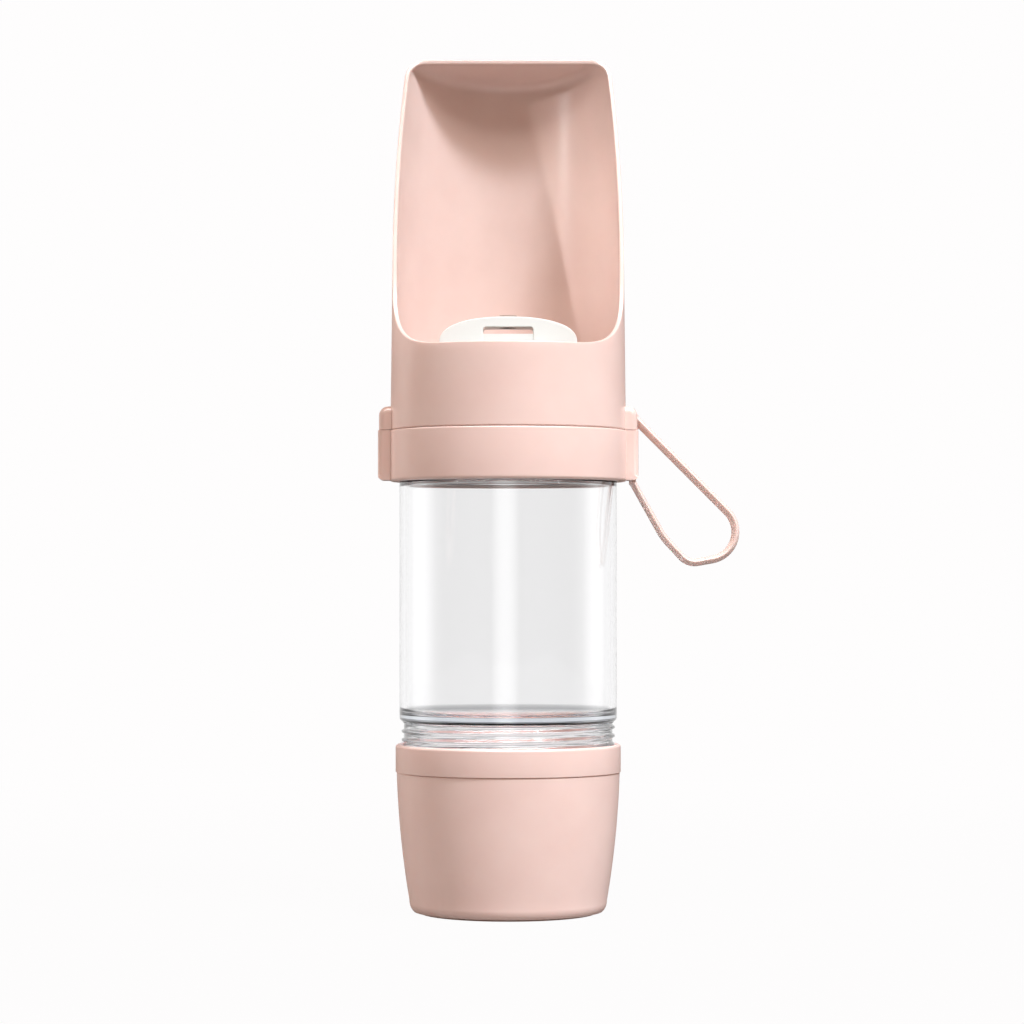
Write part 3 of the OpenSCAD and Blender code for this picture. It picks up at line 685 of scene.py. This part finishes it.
# Inside the scoop the tool is polished so that water runs off, which lowers the roughness there. The inside's
# colour is a darker copy of the pink: painted shade that deepens the hollow.
polished_with_painted_shade = pink_plastic.copy()
polished_with_painted_shade.name = "polished polypropylene"
# The darker pink set here is painted shade, not a different plastic.
painted_shade_ramp = polished_with_painted_shade.node_tree.nodes["Color Ramp"].color_ramp
painted_shade_ramp.elements[0].color = colour("D9BEB4")
painted_shade_ramp.elements[1].color = colour("DEC4BA")
inner_satin = polished_with_painted_shade.node_tree.nodes["Map Range"]
inner_satin.inputs["To Min"].default_value = 0.2
inner_satin.inputs["To Max"].default_value = 0.25
scoop.data.materials.clear()
scoop.data.materials.append(pink_plastic)
scoop.data.materials.append(polished_with_painted_shade)
# The inner walls, the ceiling and the trough bed get the darker copy: painted shade inside the hollow.
for face in scoop.data.polygons:
    outward = Vector((face.center.x, face.center.y, 0)).normalized()
    inside_wall = face.normal.dot(outward) < -0.3
    ceiling = face.normal.z < -0.3 and face.center.z > rim_z
    low_inside = face.center.z < trough_z + trough_round and face.center.xy.length < chamber_r
    trough_bed = face.normal.z > 0.3 and low_inside
    if face.center.z > trough_z - soft and (inside_wall or ceiling or trough_bed):
        face.material_index = 1
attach(scoop, "head")
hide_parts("scoop")


# Collar screws, pivot screw, washer and spring washer: stainless steel, turned and left bright, with
# fine lathe rings 0.12 mm apart. A wave texture draws twenty rings for each unit of its scale.
steel, tree = start_material("turned stainless steel", Metallic=1.0, Roughness=0.3)
ring_step = 0.12 * mm
rings_in_unit = 20
place = add(tree, "TexCoord")
rings = add(tree, "TexWave", {"Scale": 1 / (ring_step * rings_in_unit), "Distortion": 0.4, "Detail": 2.0},
            {"Vector": (place, "Object")}, wave_type="RINGS", rings_direction="Z")
tool = add(tree, "MapRange", {"To Min": 0.22, "To Max": 0.38}, {"Value": (rings, "Fac")})
gleam = add(tree, "ValToRGB", links={"Fac": (rings, "Fac")})
gleam.color_ramp.elements[0].color = colour("B4B6B9")
gleam.color_ramp.elements[1].color = colour("CDCFD2")
join_shader(tree, Base_Color=(gleam, "Color"), Roughness=(tool, "Result"))
for part in ("collar_screws", "pivot_screw", "pivot_washer", "pivot_spring"):
    dress(part, steel)


# Valve seat and its gasket: the seat is off-white acetal, a disc with six ports and a screw boss, and
# the gasket a silicone disc with the same ports, which the knob turns on.
acetal, tree = start_material("off-white acetal", Roughness=0.38, IOR=1.48)
fleck_size = 0.8 * mm
place = add(tree, "TexCoord")
fleck = add(tree, "TexNoise", {"Scale": 1 / fleck_size, "Detail": 3.0}, {"Vector": (place, "Object")})
body = add(tree, "ValToRGB", links={"Fac": (fleck, "Fac")})
body.color_ramp.elements[0].color = colour("E2E2DE")
body.color_ramp.elements[1].color = colour("EDEDEA")
join_shader(tree, Base_Color=(body, "Color"))
dress("valve_seat", acetal)
dress("valve_gasket", silicone)


# Valve knob: white ABS, a domed bar on a round disc, with a window through it that shows the hub and
# lets a finger grip it. It turns a quarter turn on the pivot screw.
knob_low, knob_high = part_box("valve_knob")
disc_r = knob_high.x
knob_r = disc_r - 1 * mm
bar_half = 6.5 * mm
disc_z = trough_z + 0.8 * mm
disc_top_z = disc_z + 2.5 * mm
dome_z = disc_top_z + 4.6 * mm
dome_rise = 7.25 * mm
dome_power = 2.3
window_half = 7.28 * mm
window_top_z = dome_z + dome_rise - 3.3 * mm
hub_z = window_top_z - 2.05 * mm
hub_r = 6.1 * mm
turning_r = 4.5 * mm
arch_steps = 40
bar_rows = 10
window_round = 0.65 * mm
window_corner = 0.9 * mm
crown_drop = 0.6 * mm
screw_bore = 1.35 * mm
well_r = 3.3 * mm
well_depth = 3.6 * mm
spigot_h = 3.4 * mm
disc_round = 0.6 * mm
hub_round = 0.4 * mm
sill_inset = 0.3 * mm


def dome_height(r):
    """Height of the dome at a distance from the axis."""
    return dome_z + dome_rise * max(0, 1 - (r / knob_r) ** dome_power) ** (1 / dome_power)


def arch(share):
    """Outline of the bar seen from the front, from the right foot over the dome to the left foot."""
    foot_share = 0.06
    if share < foot_share:
        return knob_r, disc_top_z + (dome_z - disc_top_z) * share / foot_share
    if share > 1 - foot_share:
        return -knob_r, disc_top_z + (dome_z - disc_top_z) * (1 - share) / foot_share
    a = math.pi * (share - foot_share) / (1 - 2 * foot_share)
    x = knob_r * math.cos(a)
    return x, dome_height(abs(x))


def window(share):
    """Outline of the window with its two upper corners rounded, from the right foot to the left."""
    rise = window_top_z - disc_top_z
    total = 2 * rise + 2 * window_half
    along = share * total
    if along < rise:
        x, z = window_half, disc_top_z + along
    elif along < rise + 2 * window_half:
        x, z = window_half - (along - rise), window_top_z
    else:
        x, z = -window_half, disc_top_z + total - along
    inner_x, inner_z = window_half - window_corner, window_top_z - window_corner
    if abs(x) > inner_x and z > inner_z:
        dx, dz = abs(x) - inner_x, z - inner_z
        shrink = window_corner / max(math.hypot(dx, dz), window_corner)
        x, z = math.copysign(inner_x + dx * shrink, x), inner_z + dz * shrink
    return x, z


def bar_skin(u, v):
    """The bar as a band wrapped round: v runs over the arch, u over the front, through the window's
    lining, over the back and along the dome."""
    v = min(max(v, 0), 1)
    outer_x, outer_z = arch(v)
    inner_x, inner_z = window(v)
    side = min(3, max(0, math.ceil(4 * u) - 1))
    along = 4 * u - side
    if side == 0:
        y, mix = -bar_half, along
    elif side == 1:
        y, mix = bar_half * (2 * along - 1), 1
    elif side == 2:
        y, mix = bar_half, 1 - along
    else:
        y, mix = bar_half * (1 - 2 * along), 0
    crown = crown_drop * (y / bar_half) ** 2 * min(1, (outer_z - disc_top_z) / dome_rise)
    outer_z -= crown
    return Vector((outer_x + (inner_x - outer_x) * mix, y, outer_z + (inner_z - outer_z) * mix))


def close_ends():
    """Fills the open ends of the piece that was just laid."""
    bpy.ops.object.mode_set(mode="EDIT")
    bpy.ops.mesh.select_all(action="SELECT")
    bpy.ops.mesh.fill_holes(sides=0)
    bpy.ops.mesh.normals_make_consistent(inside=False)
    bpy.ops.object.mode_set(mode="OBJECT")


bar = laid("valve_bar", 4 * bar_rows, 2 * arch_steps, bar_skin)
close_ends()
soften = bar.modifiers.new("rims", "BEVEL")
soften.width = window_round
soften.segments = 4
soften.limit_method = "ANGLE"
soften.angle_limit = math.radians(50)
bpy.ops.object.modifier_apply(modifier=soften.name)
round_steps = 128
disc = turned("valve_disc", [
    (screw_bore, disc_z - spigot_h),
    (turning_r, disc_z - spigot_h),
    (turning_r, disc_z),
    (disc_r - disc_round / 2, disc_z),
    *bow(disc_r - disc_round, disc_top_z - disc_round, disc_round, 0, 90, 5),
    (hub_r + hub_round, disc_top_z),
    (hub_r, disc_top_z + hub_round),
    *bow(hub_r - hub_round, hub_z - hub_round, hub_round, 0, 90, 5),
    (well_r, hub_z),
    (well_r, hub_z - well_depth),
    (screw_bore, hub_z - well_depth),
    (screw_bore, disc_z - spigot_h),
], round_steps)
sill_half = window_half + sill_inset
sill = block("window_sill", (-sill_half, -bar_half + sill_inset, disc_top_z - soft),
             (sill_half, bar_half - sill_inset, hub_z - near))
cut(sill, rod("screw_head_well", 0, 0, well_r, hub_z - well_depth, hub_z + mm, round_steps))
cut(sill, rod("screw_hole", 0, 0, screw_bore, disc_z, hub_z, round_steps))
knob = welded("valve_knob_bar", bar, disc, sill)

# ABS with a glossy tool finish: a bright white skin with soft but clear highlights.
white_plastic, tree = start_material("glossy white ABS", Roughness=0.3, IOR=1.53)
cast_size = 8 * mm
place = add(tree, "TexCoord")
cast = add(tree, "TexNoise", {"Scale": 1 / cast_size, "Detail": 2.0}, {"Vector": (place, "Object")})
white = add(tree, "ValToRGB", links={"Fac": (cast, "Fac")})
white.color_ramp.elements[0].color = colour("D9DBD7")
white.color_ramp.elements[1].color = colour("DEE0DC")
join_shader(tree, Base_Color=(white, "Color"))
knob.data.materials.clear()
knob.data.materials.append(white_plastic)
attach(knob, "knob")
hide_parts("valve_knob")


# Knob plug: a small taupe silicone cap that closes the way to the pivot screw.
plug_rubber, tree = start_material("taupe silicone", Roughness=0.55, IOR=1.41)
place = add(tree, "TexCoord")
bloom = add(tree, "TexNoise", {"Scale": 1 / mm, "Detail": 3.0}, {"Vector": (place, "Object")})
taupe = add(tree, "ValToRGB", links={"Fac": (bloom, "Fac")})
taupe.color_ramp.elements[0].color = colour("9A887C")
taupe.color_ramp.elements[1].color = colour("B3A093")
join_shader(tree, Base_Color=(taupe, "Color"))
dress("knob_plug", plug_rubber)


# Carry strap: thermoplastic elastomer, moulded flat as one loop with a soft ridge along it. Its round
# end sits in the upper lug's pocket and its leg passes down through the lower lug.
strap_width = 4 * mm
strap_t_top = 2.5 * mm
strap_t_low = 2.1 * mm
root_z = seam_z + 2.6 * mm
strap_low_z = lug_low_z - 0.5 * mm
strap_start = Vector((leg_x, root_z + 1.6 * mm))
outer_corner = Vector((lug_face + 36.9 * mm, root_z - 37.2 * mm))
toe_corner = Vector((lug_face + 14.6 * mm, root_z - 41.3 * mm))
calf_corner = Vector((lug_face + 7.4 * mm, root_z - 33.6 * mm))
strap_stop = Vector((leg_x, strap_low_z))
outer_bend = 8.2 * mm
toe_bend = 5.3 * mm
calf_bend = 19.7 * mm
way_step = 1.2 * mm
ridge_share = 0.34
section_steps = 40
section_power = 1.55
light_side = Vector((0.7071, 0.7071))


def bend_points(before, at, after, radius, steps):
    """A rounded corner of the strap's path."""
    back, on = (before - at).normalized(), (after - at).normalized()
    half = math.acos(back.dot(on)) / 2
    reach = radius / math.tan(half)
    middle = at + (back + on).normalized() * radius / math.sin(half)
    first, last = at + back * reach - middle, at + on * reach - middle
    start_turn = math.atan2(first.y, first.x)
    sweep = (math.atan2(last.y, last.x) - start_turn + 3 * math.pi) % (2 * math.pi) - math.pi
    return [middle + radius * Vector((math.cos(start_turn + sweep * i / steps),
                                      math.sin(start_turn + sweep * i / steps))) for i in range(steps + 1)]


corners = [strap_start,
           *bend_points(strap_start, outer_corner, toe_corner, outer_bend, 24),
           *bend_points(outer_corner, toe_corner, calf_corner, toe_bend, 14),
           *bend_points(toe_corner, calf_corner, strap_stop, calf_bend, 6),
           strap_stop]
way = [corners[0]]
for here, there in zip(corners, corners[1:]):
    pieces_between = max(1, math.ceil((there - here).length / way_step))
    way += [here.lerp(there, i / pieces_between) for i in range(1, pieces_between + 1)]


def strap_skin(u, v):
    """The strap's skin: v runs along its path and u round its section, a lozenge with soft corners
    whose two ridges lie nearer the side that faces up and out."""
    i = round(v * (len(way) - 1))
    ahead, behind = way[min(i + 1, len(way) - 1)], way[max(i - 1, 0)]
    along = (ahead - behind).normalized()
    across = Vector((-along.y, along.x))
    thick = strap_t_top + (strap_t_low - strap_t_top) * v
    a = 2 * math.pi * u
    c, s = math.cos(a), math.sin(a)
    flat = math.copysign(abs(c) ** (2 / section_power), c)
    wide = math.copysign(abs(s) ** (2 / section_power), s)
    lean = ridge_share * across.dot(light_side) * abs(wide)
    point = way[i] + across * (flat + lean * (1 - abs(flat))) * thick / 2
    return Vector((point.x, wide * strap_width / 2, point.y))


band = laid("strap_band", section_steps, len(way) - 1, strap_skin)
close_ends()
end_r = 1.85 * mm
root_end = rod("strap_end", leg_x, 0, end_r, seam_z + 0.3 * mm, pocket_z - 0.3 * mm, 40)
round_edges(root_end, 0.5 * mm, lambda a, b: abs(a.z - b.z) < near, 4)
leg = rod("strap_leg", leg_x, 0, leg_r, strap_low_z - 0.9 * mm, seam_z + 2 * mm, 40)
round_edges(leg, 0.3 * mm, lambda a, b: abs(a.z - b.z) < near, 3)
strap = welded("carry_strap", band, root_end, leg)

# A soft elastomer in the cup's pink: a little more sheen than the plastic, with faint flow lines.
elastomer, tree = start_material("satin thermoplastic elastomer", Roughness=0.38, IOR=1.5,
                                 Subsurface_Weight=0.1, Subsurface_Radius=(1.0, 0.5, 0.35),
                                 Subsurface_Scale=1.5 * mm)
flow_size = 5 * mm
place = add(tree, "TexCoord")
flow = add(tree, "TexNoise", {"Scale": 1 / flow_size, "Detail": 3.0}, {"Vector": (place, "Object")})
blush = add(tree, "ValToRGB", links={"Fac": (flow, "Fac")})
blush.color_ramp.elements[0].color = colour("F1D1C6")
blush.color_ramp.elements[1].color = colour("F6D9CE")
join_shader(tree, Base_Color=(blush, "Color"))
strap.data.materials.clear()
strap.data.materials.append(elastomer)
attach(strap, "strap")
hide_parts("strap")


# Studio: a white floor that keeps the contact shadow and a surround that is white to the camera. Clear
# plastic sees it white behind and dark in front, which draws its edges. The key stands front right, with
# a fill in front, a low lamp behind on the left, one on the right and a small spot into the scoop. The
# strips and the sheen lamps only draw streaks and the light on the bottle's shoulder.
backdrop_white = "FEFDFD"
shadow_reach = 0.12
floor_fade = 0.6
near_white = 0.985
near_mirrored = 0.06
floor_size = 1.7
bpy.ops.object.select_all(action="DESELECT")
bpy.ops.mesh.primitive_plane_add(size=floor_size)
studio_floor = bpy.context.object
studio_floor.name = studio_floor.data.name = "studio_floor"
floor_paint, tree = start_material("white studio floor", Base_Color=colour("8C8C8C"), Roughness=0.9)
path = add(tree, "LightPath")
seen = add(tree, "Math", links={0: (path, "Is Camera Ray"), 1: (path, "Is Transmission Ray")},
           operation="MAXIMUM")
seen_too = add(tree, "Math", links={0: (seen, "Value"), 1: (path, "Is Glossy Ray")}, operation="MAXIMUM")
place = add(tree, "TexCoord")
reach = add(tree, "VectorMath", links={0: (place, "Object")}, operation="LENGTH")
far = add(tree, "MapRange", {
    "From Min": shadow_reach, "From Max": floor_fade, "To Min": near_white, "To Max": 1.0},
    {"Value": (reach, "Value")}, interpolation_type="SMOOTHSTEP")
spread = add(tree, "SeparateXYZ", links={"Vector": (place, "Object")})
behind = add(tree, "MapRange", {
    "From Min": 0.03, "From Max": floor_fade, "To Min": near_mirrored, "To Max": 1.0},
    {"Value": (spread, "Y")})
either = add(tree, "Mix", links={
    "Factor": (path, "Is Camera Ray"), "A": (behind, "Result"), "B": (far, "Result")}, data_type="FLOAT")
share = add(tree, "Math", links={0: (seen_too, "Value"), 1: (either, "Result")}, operation="MULTIPLY")
glow = add(tree, "Emission", {"Color": colour(backdrop_white), "Strength": 1.0})
blend = add(tree, "MixShader", links={"Fac": (share, "Value")})
tree.links.new(tree.nodes["Principled BSDF"].outputs["BSDF"], blend.inputs[1])
tree.links.new(glow.outputs["Emission"], blend.inputs[2])
tree.links.new(blend.outputs["Shader"], tree.nodes["Material Output"].inputs["Surface"])
studio_floor.data.materials.append(floor_paint)
studio_floor.visible_glossy = False

world = bpy.data.worlds.new("studio_surround")
bpy.context.scene.world = world
world.use_nodes = True
tree = world.node_tree
direction = add(tree, "TexCoord")
parts = add(tree, "SeparateXYZ", links={"Vector": (direction, "Generated")})
lit = add(tree, "MapRange", {"From Min": -0.35, "From Max": 0.25, "To Min": 0.37, "To Max": 0.1},
          {"Value": (parts, "Y")})
mirrored = add(tree, "MapRange", {"From Min": -0.25, "From Max": 0.3, "To Min": near_mirrored, "To Max": 1.0},
               {"Value": (parts, "Y")})
path = add(tree, "LightPath")
not_seen = add(tree, "Mix", links={
    "Factor": (path, "Is Singular Ray"), "A": (lit, "Result"), "B": (mirrored, "Result")}, data_type="FLOAT")
level = add(tree, "Mix", {"B": 1.0}, {"Factor": (path, "Is Camera Ray"), "A": (not_seen, "Result")},
            data_type="FLOAT")
background = tree.nodes["Background"]
plain = add(tree, "Math", links={0: (path, "Is Camera Ray"), 1: (path, "Is Singular Ray")},
            operation="MAXIMUM")
tint = add(tree, "Mix", links={"Factor": (plain, "Value")}, data_type="RGBA")
tint.inputs["A"].default_value = colour("FFD6BA")
tint.inputs["B"].default_value = colour(backdrop_white)
tree.links.new(tint.outputs["Result"], background.inputs["Color"])
tree.links.new(level.outputs["Result"], background.inputs["Strength"])

aim = Vector((0, 0, 0.13))


def place_lamp(lamp, at, azimuth, elevation, distance):
    """Sets a lamp round a point and aims it there. Azimuth counts from the front to the right."""
    bpy.context.scene.collection.objects.link(lamp)
    side, up = math.radians(azimuth), math.radians(elevation)
    away = Vector((math.sin(side) * math.cos(up), -math.cos(side) * math.cos(up), math.sin(up)))
    lamp.location = at + away * distance
    lamp.rotation_euler = away.to_track_quat("Z", "Y").to_euler()


def softbox(name, azimuth, elevation, distance, width, height, power, tint="FFFFFF"):
    """A soft lamp aimed at the bottle's middle. Angles in degrees, lengths in metres, power in watts."""
    lamp_data = bpy.data.lights.new(name, "AREA")
    lamp_data.shape = "RECTANGLE"
    lamp_data.size = width
    lamp_data.size_y = height
    lamp_data.energy = power
    lamp_data.color = colour(tint)[:3]
    lamp = bpy.data.objects.new(name, lamp_data)
    place_lamp(lamp, aim, azimuth, elevation, distance)
    lamp.visible_camera = False
    lamp.visible_transmission = False
    return lamp


clear_wall = bpy.data.collections.new("clear_wall")
clear_wall.objects.link(bottle)


def strip(name, azimuth, width, power):
    """A tall lamp that only the clear wall mirrors, as a streak that is soft at its two edges."""
    lamp = softbox(name, azimuth, 0, 1.3, width, 3.0, power)
    lamp.visible_diffuse = False
    lamp.light_linking.receiver_collection = clear_wall
    lamp.data.use_nodes = True
    tree = lamp.data.node_tree
    spot = add(tree, "NewGeometry")
    parts = add(tree, "SeparateXYZ", links={"Vector": (spot, "Parametric")})
    turn = add(tree, "Math", {1: math.pi}, {0: (parts, "X")}, operation="MULTIPLY")
    swell = add(tree, "Math", links={0: (turn, "Value")}, operation="SINE")
    tree.links.new(swell.outputs["Value"], tree.nodes["Emission"].inputs["Strength"])


softbox("key", 43, 53.5, 3.0, 0.45, 0.45, 112, "E8F4FF")
softbox("front_fill", 8, 50, 3.0, 0.6, 0.6, 32)
softbox("left_back", -122, 10, 1.3, 0.5, 1.0, 14).visible_glossy = False
softbox("right_side", 95, 15, 2.0, 0.6, 0.9, 5.5).visible_glossy = False
softbox("edge_sheen", 5, 65, 1.5, 2.2, 0.6, 60).visible_diffuse = False
shoulder_sheen = softbox("shoulder_sheen", 0, 32, 1.3, 4.0, 1.1, 200)
shoulder_sheen.visible_diffuse = False
shoulder_sheen.light_linking.receiver_collection = clear_wall
strip("front_strip", -3, 0.7, 25)
strip("left_strip", -102, 1.0, 14)
strip("right_strip", 103, 0.9, 13)

inside_data = bpy.data.lights.new("inside_light", "SPOT")
inside_data.energy = 44
inside_data.spot_size = math.radians(4.2)
inside_data.spot_blend = 0.8
inside_data.shadow_soft_size = 0.04
scoop_right = Vector((0.029, 0, 0.206))
place_lamp(bpy.data.objects.new("inside_light", inside_data), scoop_right, -63, 14, 0.9)

# The camera looks level along +Y, from where the round seams' curvature puts it.
camera_data = bpy.data.cameras.new("camera")
camera = bpy.data.objects.new("camera", camera_data)
bpy.context.scene.collection.objects.link(camera)
camera_data.sensor_width = 36
camera_data.lens = 114.9
camera_data.shift_y = 0.0615
camera.location = (1.1 * mm, -950 * mm, 98.1 * mm)
camera.rotation_euler = (math.radians(90), 0, 0)
bpy.context.scene.camera = camera
bpy.context.scene.view_settings.view_transform = "Standard"
